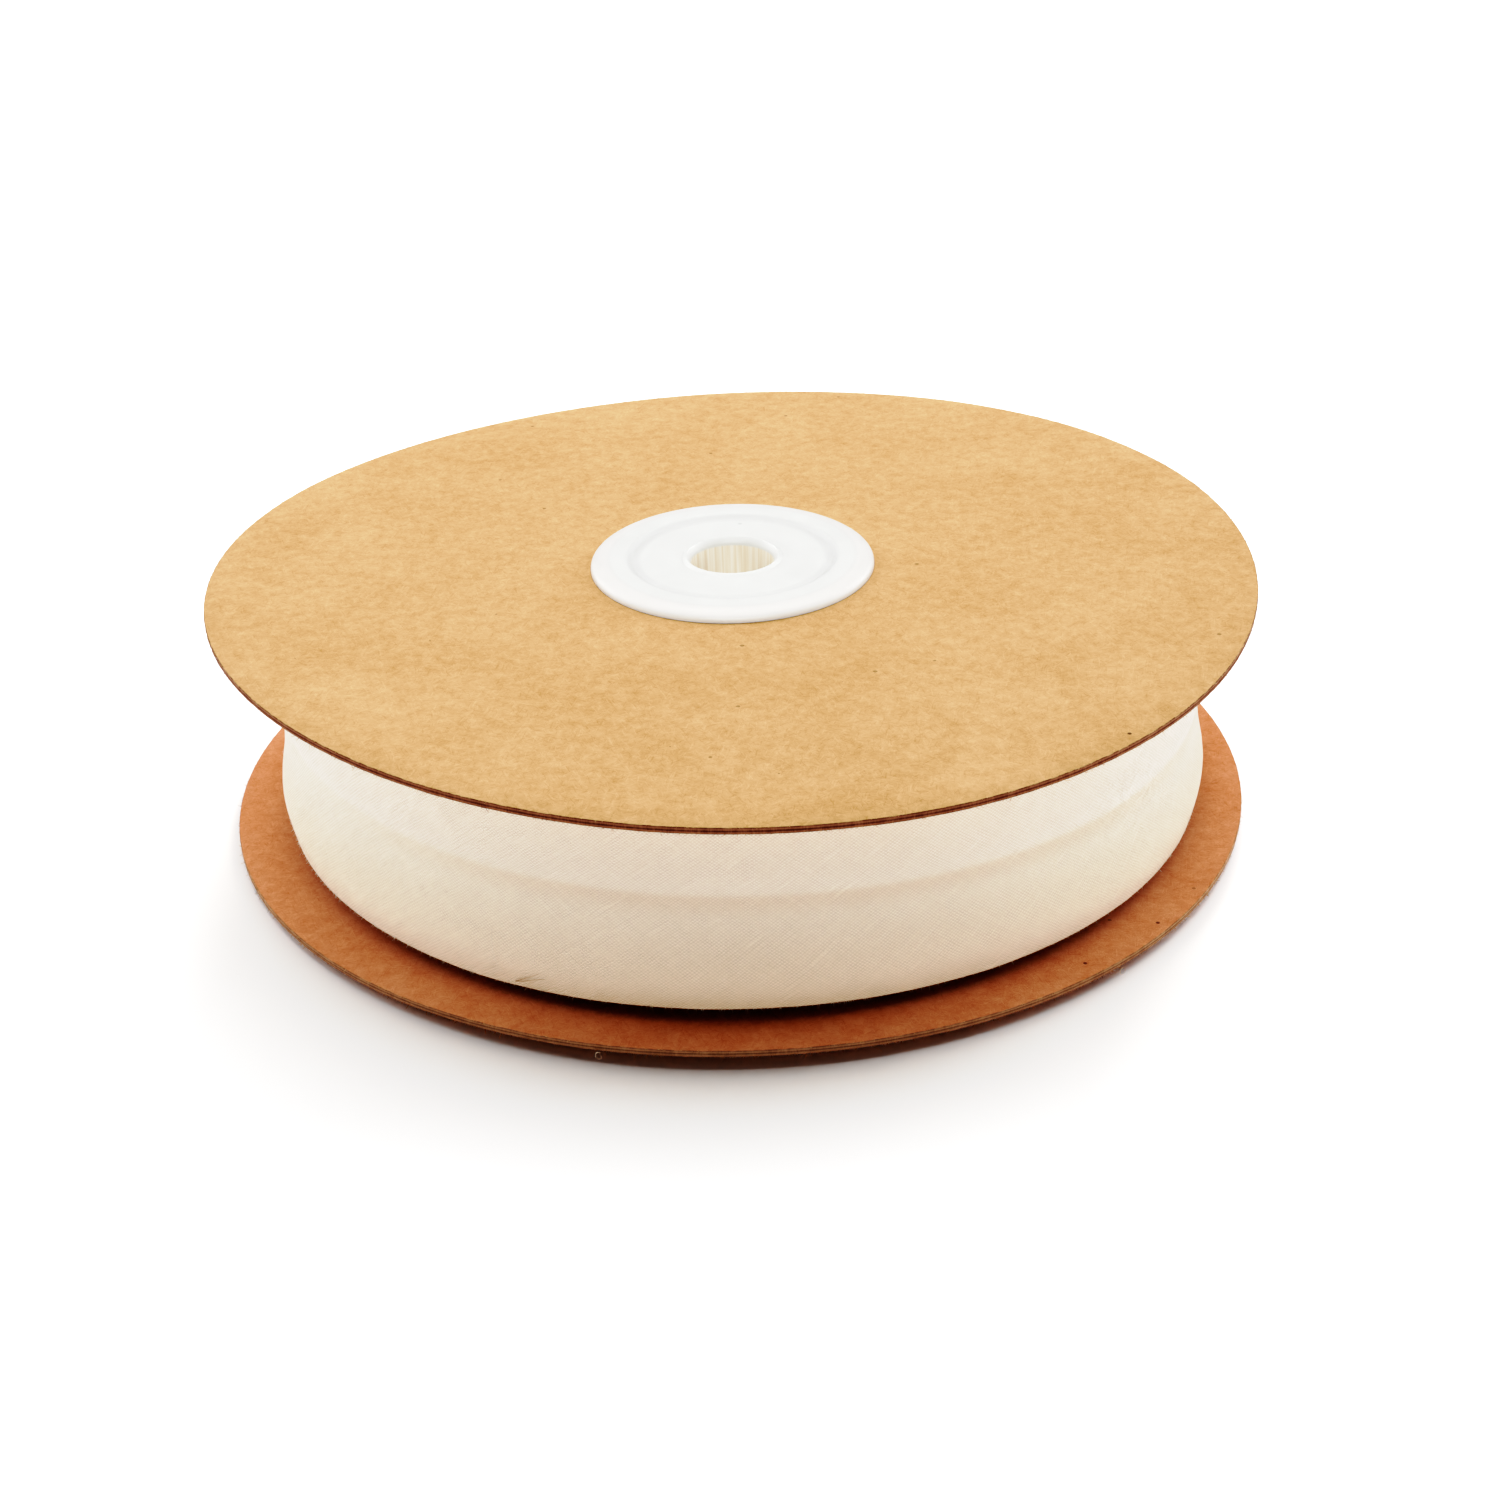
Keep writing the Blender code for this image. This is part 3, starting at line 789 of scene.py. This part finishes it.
class Shading:
    """One material, with short ways to add nodes to it."""

    def __init__(self, name):
        self.material = bpy.data.materials.new(name)
        self.material.use_nodes = True
        self.tree = self.material.node_tree
        self.shader = self.tree.nodes["Principled BSDF"]

    def fill(self, socket, value):
        if isinstance(value, bpy.types.NodeSocket):
            self.tree.links.new(value, socket)
        else:
            socket.default_value = value

    def node(self, kind, inputs=None, **settings):
        """A node with some of its inputs, by name or number, linked or set."""
        node = self.tree.nodes.new(kind)
        for key, value in settings.items():
            setattr(node, key, value)
        for key, value in (inputs or {}).items():
            self.fill(node.inputs[key], value)
        return node

    def paint(self, colour, roughness):
        self.fill(self.shader.inputs["Base Color"], colour)
        self.fill(self.shader.inputs["Roughness"], roughness)

    def bump(self, height, distance, strength=1.0):
        inputs = {"Height": height, "Distance": distance, "Strength": strength}
        self.fill(self.shader.inputs["Normal"], self.node("ShaderNodeBump", inputs).outputs[0])

    def constants(self, values):
        for key, value in values.items():
            self.shader.inputs[key].default_value = value

    def object_place(self):
        return self.node("ShaderNodeTexCoord").outputs["Object"]

    def attribute(self, name):
        return self.node("ShaderNodeAttribute", attribute_name=name).outputs["Fac"]

    def axes(self, place):
        return self.node("ShaderNodeSeparateXYZ", {0: place}).outputs

    def math(self, operation, *values):
        return self.node("ShaderNodeMath", dict(enumerate(values)), operation=operation).outputs[0]

    def chain(self, operation, *values):
        result = values[0]
        for value in values[1:]:
            result = self.math(operation, result, value)
        return result

    def total(self, *values):
        return self.chain("ADD", *values)

    def scaled(self, value, factor, offset=0.0):
        return self.math("MULTIPLY_ADD", value, factor, offset)

    def swing(self, value, reach):
        """Noise around a half, made into a swing of that reach around nothing."""
        return self.scaled(value, reach, -reach / 2)

    def vector(self, operation, *values):
        return self.node("ShaderNodeVectorMath", dict(enumerate(values)), operation=operation).outputs[0]

    def length(self, vector):
        return self.node("ShaderNodeVectorMath", {0: vector}, operation="LENGTH").outputs["Value"]

    def noise(self, place, size, detail=2.0, roughness=0.5):
        inputs = {"Vector": place, "Scale": 1 / size, "Detail": detail, "Roughness": roughness}
        return self.node("ShaderNodeTexNoise", inputs).outputs[0]

    def fade(self, value, low, high, to_low=0.0, to_high=1.0):
        inputs = {0: value, 1: low, 2: high, 3: to_low, 4: to_high}
        return self.node("ShaderNodeMapRange", inputs, interpolation_type="SMOOTHSTEP").outputs[0]

    def ring(self, radius, middle, near, far, strength):
        """A ring-shaped mask: at full strength near a middle radius, and gone farther from it."""
        away = self.math("ABSOLUTE", self.scaled(radius, 1.0, -middle))
        return self.fade(away, near, far, strength, 0.0)

    def mix(self, factor, first, second, blend="MIX"):
        inputs = {0: factor, 6: first, 7: second}
        return self.node("ShaderNodeMix", inputs, data_type="RGBA", blend_type=blend).outputs[2]

    def swayed(self, place, size, reach):
        """Coordinates nudged sideways by slow noise, so that straight streaks bend."""
        drift = self.node("ShaderNodeTexNoise", {"Vector": place, "Scale": 1 / size, "Detail": 1.0})
        drift = self.vector("SUBTRACT", drift.outputs["Color"], (0.5, 0.5, 0.5))
        return self.vector("ADD", place, self.vector("MULTIPLY", drift, (reach, reach, 0.0)))

    def streaks(self, place, angle, length, width, offset=0.0, detail=1.0, roughness=0.5):
        """Noise drawn out into streaks of a length and width, along an angle round +Z."""
        inputs = {
            "Vector": place,
            "Location": (offset, offset * 0.7, offset * 1.3),
            "Rotation": (0.0, 0.0, angle),
            "Scale": (length, width, width * STREAK_HEIGHT),
        }
        spot = self.node("ShaderNodeMapping", inputs, vector_type="TEXTURE").outputs[0]
        return self.noise(spot, 1.0, detail, roughness)


def paper_fibres(s, place):
    """Masks of the pale and of the dark paper fibres, each of them along one of a few angles."""
    bent = s.swayed(place, 2.5 * MM, 0.9 * MM)
    fibres = []
    for number, angle in enumerate(KRAFT_FIBRE_ANGLES):
        offset = 0.013 * (number + 1)
        fibres.append(s.streaks(bent, angle, KRAFT_FIBRE_LENGTH, KRAFT_FIBRE_WIDTH, offset))
    pale = s.chain("MAXIMUM", *[s.fade(fibre, 0.62, 0.74) for fibre in fibres])
    deep = s.chain("MAXIMUM", *[s.fade(fibre, 0.38, 0.27) for fibre in fibres])
    return pale, deep


def scattered_specks(s, place, face):
    """Small brown specks of many sizes, one in some of the cells of a coarse pattern."""
    cells = s.node("ShaderNodeTexVoronoi", {"Vector": place, "Scale": 1 / SPECK_SPACING})
    lot = s.node("ShaderNodeSeparateColor", {0: cells.outputs["Color"]})
    size = s.fade(lot.outputs[1], 0.0, 1.0, 0.01, 0.075)
    inside = s.math("LESS_THAN", cells.outputs["Distance"], size)
    speck = s.math("MULTIPLY", inside, s.math("GREATER_THAN", lot.outputs[0], 0.72))
    return s.mix(s.math("MULTIPLY", speck, 0.55), face, SPECK_BROWN)


def placed_specks(s, base, face, specks):
    """The larger specks of this reel, at their own places."""
    flat_base = s.vector("MULTIPLY", base, (1.0, 1.0, 0.0))
    for x, y in specks:
        far = s.length(s.vector("SUBTRACT", flat_base, (x * MM, y * MM, 0.0)))
        face = s.mix(s.fade(far, 0.16 * MM, 0.30 * MM, 0.85, 0.0), face, PLACED_SPECK_BROWN)
    return face


def cut_rim(s, place, cut, light, rim_light, rim_dark):
    """Colour of the cut rim: bands for its plies under a rough cut, edges worn to the face's colour."""
    ply = s.attribute("ply")
    bands = s.math("COSINE", s.math("MULTIPLY", ply, 2 * pi * CARD_PLIES))
    coarse = s.noise(place, 1.1 * MM)
    tone = s.total(s.scaled(bands, -0.40, 0.42), s.swing(cut, 1.0), s.swing(coarse, 0.8))
    worn = s.fade(s.math("ABSOLUTE", s.swing(ply, 1.0)), 0.40, 0.47)
    worn = s.math("MULTIPLY", worn, s.fade(coarse, 0.45, 0.65, 0.15, 0.8))
    return s.mix(worn, s.mix(tone, rim_dark, rim_light), light)


def kraft_material(name, seed, specks, light, dark, rim_light, rim_dark):
    """Brown board: flecks, pale and dark fibres, small specks, and a cut rim that shows its plies."""
    s = Shading(name)
    base = s.object_place()
    place = s.vector("ADD", base, (seed * 0.11, seed * 0.07, 0.0))
    grain = s.noise(place, 0.45 * MM, 3.0, 0.6)
    flecks = s.noise(place, 1.7 * MM, 3.0, 0.55)
    clouds = s.noise(place, 13 * MM)
    pale, deep = paper_fibres(s, place)
    tone = s.total(
        s.scaled(grain, 0.50, 0.25),
        s.swing(flecks, 0.90),
        s.swing(clouds, 0.55),
        s.scaled(pale, 0.30),
        s.scaled(deep, -0.30),
    )
    face = scattered_specks(s, place, s.mix(tone, dark, light))
    face = placed_specks(s, base, face, specks)
    cut = s.streaks(base, 0.0, CUT_STREAK_WIDTH, CUT_STREAK_WIDTH, detail=2.0, roughness=0.6)
    rim = cut_rim(s, place, cut, light, rim_light, rim_dark)
    s.paint(s.mix(s.attribute("rim"), face, rim), s.fade(grain, 0.3, 0.7, 0.90, 0.78))
    relief = s.total(s.scaled(grain, 0.8), s.scaled(pale, 0.35), s.scaled(deep, -0.25), s.scaled(cut, 0.6))
    s.bump(relief, 0.03 * MM, 0.6)
    s.constants({"Specular IOR Level": 0.25})
    return s.material


def crossed_threads(s, cloth):
    """Two sets of threads on the bias: the height of the weave, each yarn's shade and its thick places."""
    axes = s.axes(cloth)
    along = s.math("MULTIPLY", axes[0], sin(BIAS_ANGLE) / THREAD_PITCH)
    up = s.math("MULTIPLY", axes[1], cos(BIAS_ANGLE) / THREAD_PITCH)
    across = [s.math("SUBTRACT", up, along), s.math("ADD", up, along)]
    along = s.math("MULTIPLY", axes[0], cos(BIAS_ANGLE) / THREAD_PITCH)
    up = s.math("MULTIPLY", axes[1], sin(BIAS_ANGLE) / THREAD_PITCH)
    run = [s.math("ADD", along, up), s.math("SUBTRACT", along, up)]
    waves = [s.math("COSINE", s.math("MULTIPLY", value, pi)) for value in across]
    heights, yarns, slubs = [], [], []
    for number, turn in enumerate((1.0, -1.0)):
        crest, other = waves[number], waves[1 - number]
        over = s.math("MULTIPLY", s.math("MULTIPLY", s.math("SIGN", crest), other), 0.5 * turn)
        heights.append(s.math("MULTIPLY", s.math("ABSOLUTE", crest), s.math("ADD", over, 0.5)))
        drawn_out = s.math("MULTIPLY", run[number], YARN_STRETCH)
        spot = s.node("ShaderNodeCombineXYZ", {0: drawn_out, 1: across[number]}).outputs[0]
        spot = s.vector("ADD", spot, (17.0 * number, 5.0 * number, 0.0))
        yarns.append(s.noise(spot, 1.0, 1.0))
        slubs.append(s.fade(yarns[number], 0.66, 0.80))
    return s.math("MAXIMUM", *heights), yarns, slubs


def crease_shade_and_bounce(s, along, height):
    """Painted shade along the line where the raw edges meet inside the fold, strongest round the front,
    and a painted warm tint of bounced light below it.
    """
    round_way = s.scaled(along, 1 / TAPE_RADIUS, FREE_END_ANGLE - MIDDLE_DIP_HIGH_SIDE)
    line = s.scaled(s.math("COSINE", round_way), MIDDLE_DIP_WANDER, MIDDLE_DIP_HEIGHT)
    above = s.math("SUBTRACT", height, line)
    bounce_below = s.mix(s.fade(height, 0.0, MIDDLE_DIP_HEIGHT), BOUNCE_TINT_AT_EDGE, BOUNCE_TINT_AT_LINE)
    tint = s.mix(s.fade(above, -0.9 * MM, 1.1 * MM), bounce_below, NO_TINT)
    crease_shade = s.math("MINIMUM", s.fade(above, 0.4 * MM, -0.5 * MM), s.fade(above, -3.2 * MM, -0.6 * MM))
    shade_in_front = s.fade(s.math("SINE", round_way), 0.3, 0.95, 0.15, 1.0)
    return s.mix(s.math("MULTIPLY", crease_shade, shade_in_front), tint, CREASE_PAINTED_SHADE)


def cotton_material():
    """Fine plain weave cut on the bias: two sets of threads, thick places in them, and soft gaps."""
    s = Shading("cotton_weave")
    flat = s.node("ShaderNodeUVMap", uv_map="cloth").outputs[0]
    cloth = s.swayed(flat, 4 * MM, 0.35 * MM)
    weave, yarns, slubs = crossed_threads(s, cloth)
    patches = s.fade(s.noise(cloth, 1.8 * MM), 0.38, 0.62, 0.8, 1.3)
    weave = s.scaled(s.math("MULTIPLY", s.swing(weave, 1.0), patches), 1.0, 0.5)
    fluff = s.noise(cloth, 0.25 * MM, 3.0, 0.65)
    clouds = s.noise(cloth, 9 * MM)
    tone = s.total(
        s.scaled(weave, 1.05, -0.06),
        s.swing(yarns[0], 0.40),
        s.swing(yarns[1], 0.30),
        s.scaled(slubs[0], 0.55),
        s.scaled(slubs[1], 0.15),
        s.swing(fluff, 0.8),
        s.swing(clouds, 0.22),
    )
    along, height = s.axes(flat)[:2]
    cream = s.mix(tone, CREAM_DARK, CREAM_LIGHT)
    # The cream carries the painted crease shade and the painted bounced light
    s.paint(s.mix(1.0, cream, crease_shade_and_bounce(s, along, height), "MULTIPLY"), 0.9)
    relief = s.total(
        s.scaled(weave, 0.8), s.scaled(slubs[0], 0.8), s.scaled(slubs[1], 0.5), s.scaled(fluff, 0.35)
    )
    s.bump(relief, 0.07 * MM)
    s.constants({"Specular IOR Level": 0.2, "Sheen Weight": 0.25, "Sheen Roughness": 0.5})
    return s.material


def moulded_white(s, radius, skin, clouds):
    """The white of the hub's relief, with painted shade in its groove and at the step of its crest, and a
    painted warm tint of light bounced off the kraft on its outer bead.
    """
    tone = s.total(s.scaled(skin, 0.5, 0.25), s.swing(clouds, 0.8))
    white = s.mix(tone, PLASTIC_DARK, PLASTIC_LIGHT)
    # Painted shade in the groove and at the crest's step
    groove_shade = s.ring(radius, GROOVE_RADIUS, 0.4 * MM, 1.2 * MM, 0.48)
    step = s.ring(radius, CREST_OUTER_RADIUS, 0.05 * MM, 0.4 * MM, 0.2)
    white = s.mix(s.math("ADD", groove_shade, step), white, GROOVE_PAINTED_SHADE)
    # Painted warm bounced light on the outer bead
    bounce_band = s.fade(radius, CREST_OUTER_RADIUS - 0.6 * MM, CREST_OUTER_RADIUS + 0.6 * MM)
    return s.mix(s.math("MULTIPLY", bounce_band, 0.6), white, BEAD_PAINTED_BOUNCE)


def with_painted_bore_glow(s, place, radius, white):
    """The white of the relief, with a painted warm glow, streaked, on the wall of the spindle hole, for
    light that bounces in the hole and shines through the plastic.
    """
    from_middle = s.math("ABSOLUTE", s.scaled(s.axes(place)[2], 1.0, -MID_HEIGHT))
    depth = s.math("SUBTRACT", MID_HEIGHT, from_middle)
    bore = s.math("LESS_THAN", radius, MOUTH_RADIUS + 0.05 * MM)
    bore = s.math("MULTIPLY", bore, s.fade(depth, 0.75 * MM, 1.05 * MM))
    spot = s.vector("MULTIPLY", place, (1 / (0.45 * MM), 1 / (0.45 * MM), 1 / (30 * MM)))
    streaks = s.noise(spot, 1.0, 2.0, 0.6)
    return s.mix(bore, white, s.mix(s.fade(streaks, 0.3, 0.7), BORE_GLOW_DARK, BORE_GLOW_LIGHT))


def plastic_material():
    """Milky moulded plastic with a painted warm glow down the spindle hole, and the small mark of its
    gate.
    """
    s = Shading("hub_plastic")
    place = s.vector("SUBTRACT", s.object_place(), HUB_SHIFT)
    axes = s.axes(place)
    flat = s.node("ShaderNodeCombineXYZ", {0: axes[0], 1: axes[1]}).outputs[0]
    radius = s.length(flat)
    skin = s.noise(place, 2.2 * MM, 3.0, 0.55)
    clouds = s.noise(place, 7 * MM)
    body = with_painted_bore_glow(s, place, radius, moulded_white(s, radius, skin, clouds))
    to_mark = s.length(s.vector("SUBTRACT", flat, (GATE_MARK.x, GATE_MARK.y, 0.0)))
    mark = s.fade(to_mark, 0.16 * MM, 0.34 * MM, 1.0, 0.0)
    body = s.mix(s.math("MULTIPLY", mark, 0.6), body, GATE_GREY)
    s.paint(body, s.fade(skin, 0.3, 0.7, 0.34, 0.46))
    rings = s.math("SINE", s.math("MULTIPLY", radius, 2 * pi / TURNING_PITCH))
    relief = s.total(s.scaled(skin, 0.5), s.scaled(rings, 0.04), s.scaled(mark, -1.5))
    s.bump(relief, 0.05 * MM, 0.5)
    s.constants({"Subsurface Weight": 0.3, "Subsurface Radius": (1.0, 1.0, 1.0)})
    s.constants({"Subsurface Scale": 1.5 * MM, "Specular IOR Level": 0.45})
    return s.material


def fibre_material(name, light, dark):
    """Fluff: its shade drifts from strand to strand."""
    s = Shading(name)
    drift = s.noise(s.object_place(), 1.5 * MM)
    s.paint(s.mix(s.fade(drift, 0.3, 0.7), dark, light), 0.9)
    s.constants({"Specular IOR Level": 0.2})
    return s.material


def make_floor():
    bpy.ops.mesh.primitive_plane_add(size=FLOOR_SIZE)
    floor = bpy.context.object
    floor.name = "floor"
    s = Shading("pale_floor")
    s.paint(FLOOR_GREY, 0.9)
    s.constants({"Specular IOR Level": 0.0})
    floor.data.materials.append(s.material)
    return floor


def make_camera():
    data = bpy.data.cameras.new("camera")
    data.sensor_fit = "HORIZONTAL"
    data.sensor_width = SENSOR_MM
    data.lens = FOCAL_LENGTH_PX / PHOTO_SIDE_PX * SENSOR_MM
    data.clip_start = 0.01
    data.clip_end = 20.0
    camera = bpy.data.objects.new("camera", data)
    bpy.context.scene.collection.objects.link(camera)
    back = Vector((0, -cos(CAMERA_ELEVATION), sin(CAMERA_ELEVATION)))
    right = Vector((1, 0, 0))
    up = back.cross(right)
    rolled_right = right * cos(CAMERA_ROLL) + up * sin(CAMERA_ROLL)
    rolled_up = up * cos(CAMERA_ROLL) - right * sin(CAMERA_ROLL)
    turn = Matrix((rolled_right, rolled_up, back)).transposed()
    camera.matrix_world = Matrix.Translation(CAMERA_TARGET + back * CAMERA_DISTANCE) @ turn.to_4x4()
    bpy.context.scene.camera = camera


def add_light(name, place, size, watts, aim=(0, 0, 0), tint=(1.0, 1.0, 1.0), only=(), spare=()):
    """A softbox; with only, its light falls on those objects alone, and with spare it leaves those out."""
    data = bpy.data.lights.new(name, "AREA")
    data.shape = "RECTANGLE"
    data.size, data.size_y = size
    data.energy = watts
    data.color = tint
    light = bpy.data.objects.new(name, data)
    bpy.context.scene.collection.objects.link(light)
    light.location = place
    light.rotation_euler = (Vector(aim) - Vector(place)).to_track_quat("-Z", "Y").to_euler()
    if only or spare:
        lit = bpy.data.collections.new(name + "_lit")
        for piece in (*only, *spare):
            lit.objects.link(piece)
        for member in lit.collection_objects:
            member.light_linking.link_state = "EXCLUDE" if spare else "INCLUDE"
        light.light_linking.receiver_collection = lit


def make_tone_curve(settings):
    """The photo's print: deep shadows a little deeper, bright whites a little softer."""
    settings.view_transform = "Standard"
    settings.use_curve_mapping = True
    mapping = settings.curve_mapping
    mapping.clip_max_x = TONE_CURVE[-1][0]
    curve = mapping.curves[3]
    curve.points[0].location = TONE_CURVE[0]
    curve.points[1].location = TONE_CURVE[-1]
    for seen, printed in TONE_CURVE[1:-1]:
        curve.points.new(seen, printed)
    mapping.update()


def make_world():
    """A dim warm room for the light, with a bright backdrop that only the camera sees."""
    world = bpy.data.worlds.new("studio")
    world.use_nodes = True
    nodes, links = world.node_tree.nodes, world.node_tree.links
    room = nodes["Background"]
    room.inputs["Color"].default_value = WORLD_COLOUR
    room.inputs["Strength"].default_value = WORLD_LIGHT
    backdrop = nodes.new("ShaderNodeBackground")
    backdrop.inputs["Strength"].default_value = BACKDROP_LIGHT
    path = nodes.new("ShaderNodeLightPath")
    choice = nodes.new("ShaderNodeMixShader")
    links.new(path.outputs["Is Camera Ray"], choice.inputs[0])
    links.new(room.outputs[0], choice.inputs[1])
    links.new(backdrop.outputs[0], choice.inputs[2])
    links.new(choice.outputs[0], nodes["World Output"].inputs["Surface"])
    bpy.context.scene.world = world


def make_lights(floor, tape, hub):
    add_light("top_softbox", **TOP_SOFTBOX)
    add_light("left_softbox", **LEFT_SOFTBOX, spare=[tape])
    add_light("right_softbox", **RIGHT_SOFTBOX, spare=[tape])
    add_light("floor_wash", **FLOOR_WASH, only=[floor])
    add_light("low_wash", **LOW_WASH, only=[floor])
    add_light("tape_fill", **TAPE_FILL, only=[tape])
    add_light("tape_left", **TAPE_LEFT, only=[tape])
    add_light("tape_right", **TAPE_RIGHT, only=[tape])
    add_light("hub_fill", **HUB_FILL, only=hub)


make_camera()
upper_kraft = kraft_material("kraft_upper", 1, UPPER_CARD_SPECKS, **UPPER_KRAFT)
# The lower card's kraft carries painted shade on its face
lower_kraft_painted_shade = kraft_material("kraft_lower_painted_shade", 4, LOWER_CARD_SPECKS, **LOWER_KRAFT_PAINTED_SHADE)
plastic = plastic_material()
cotton = cotton_material()
make_card("card_upper", "flange_upper", UPPER_CARD, upper_kraft, SEED)
make_card("card_lower", "flange_lower", LOWER_CARD, lower_kraft_painted_shade, SEED + 3)
hub = make_hub(plastic)
tape = make_tape(cotton)
floor = make_floor()
make_world()
make_lights(floor, tape, hub)
make_tone_curve(bpy.context.scene.view_settings)
cotton_fluff = fibre_material("cotton_fluff", *COTTON_FLUFF)
make_tape_fibres(cotton_fluff)
make_strays(fibre_material("brown_fibre", *BROWN_FIBRE), cotton_fluff)
paper_fluff = fibre_material("paper_fluff", *PAPER_FLUFF)
# The rim curls' paler colour is painted light
make_rim_curls(fibre_material("rim_curl_painted_light", *CURL_PAINTED_LIGHT))
make_card_fibres("card_fuzz_upper", UPPER_CARD, paper_fluff, SEED + 11)
make_card_fibres("card_fuzz_lower", LOWER_CARD, paper_fluff, SEED + 12)
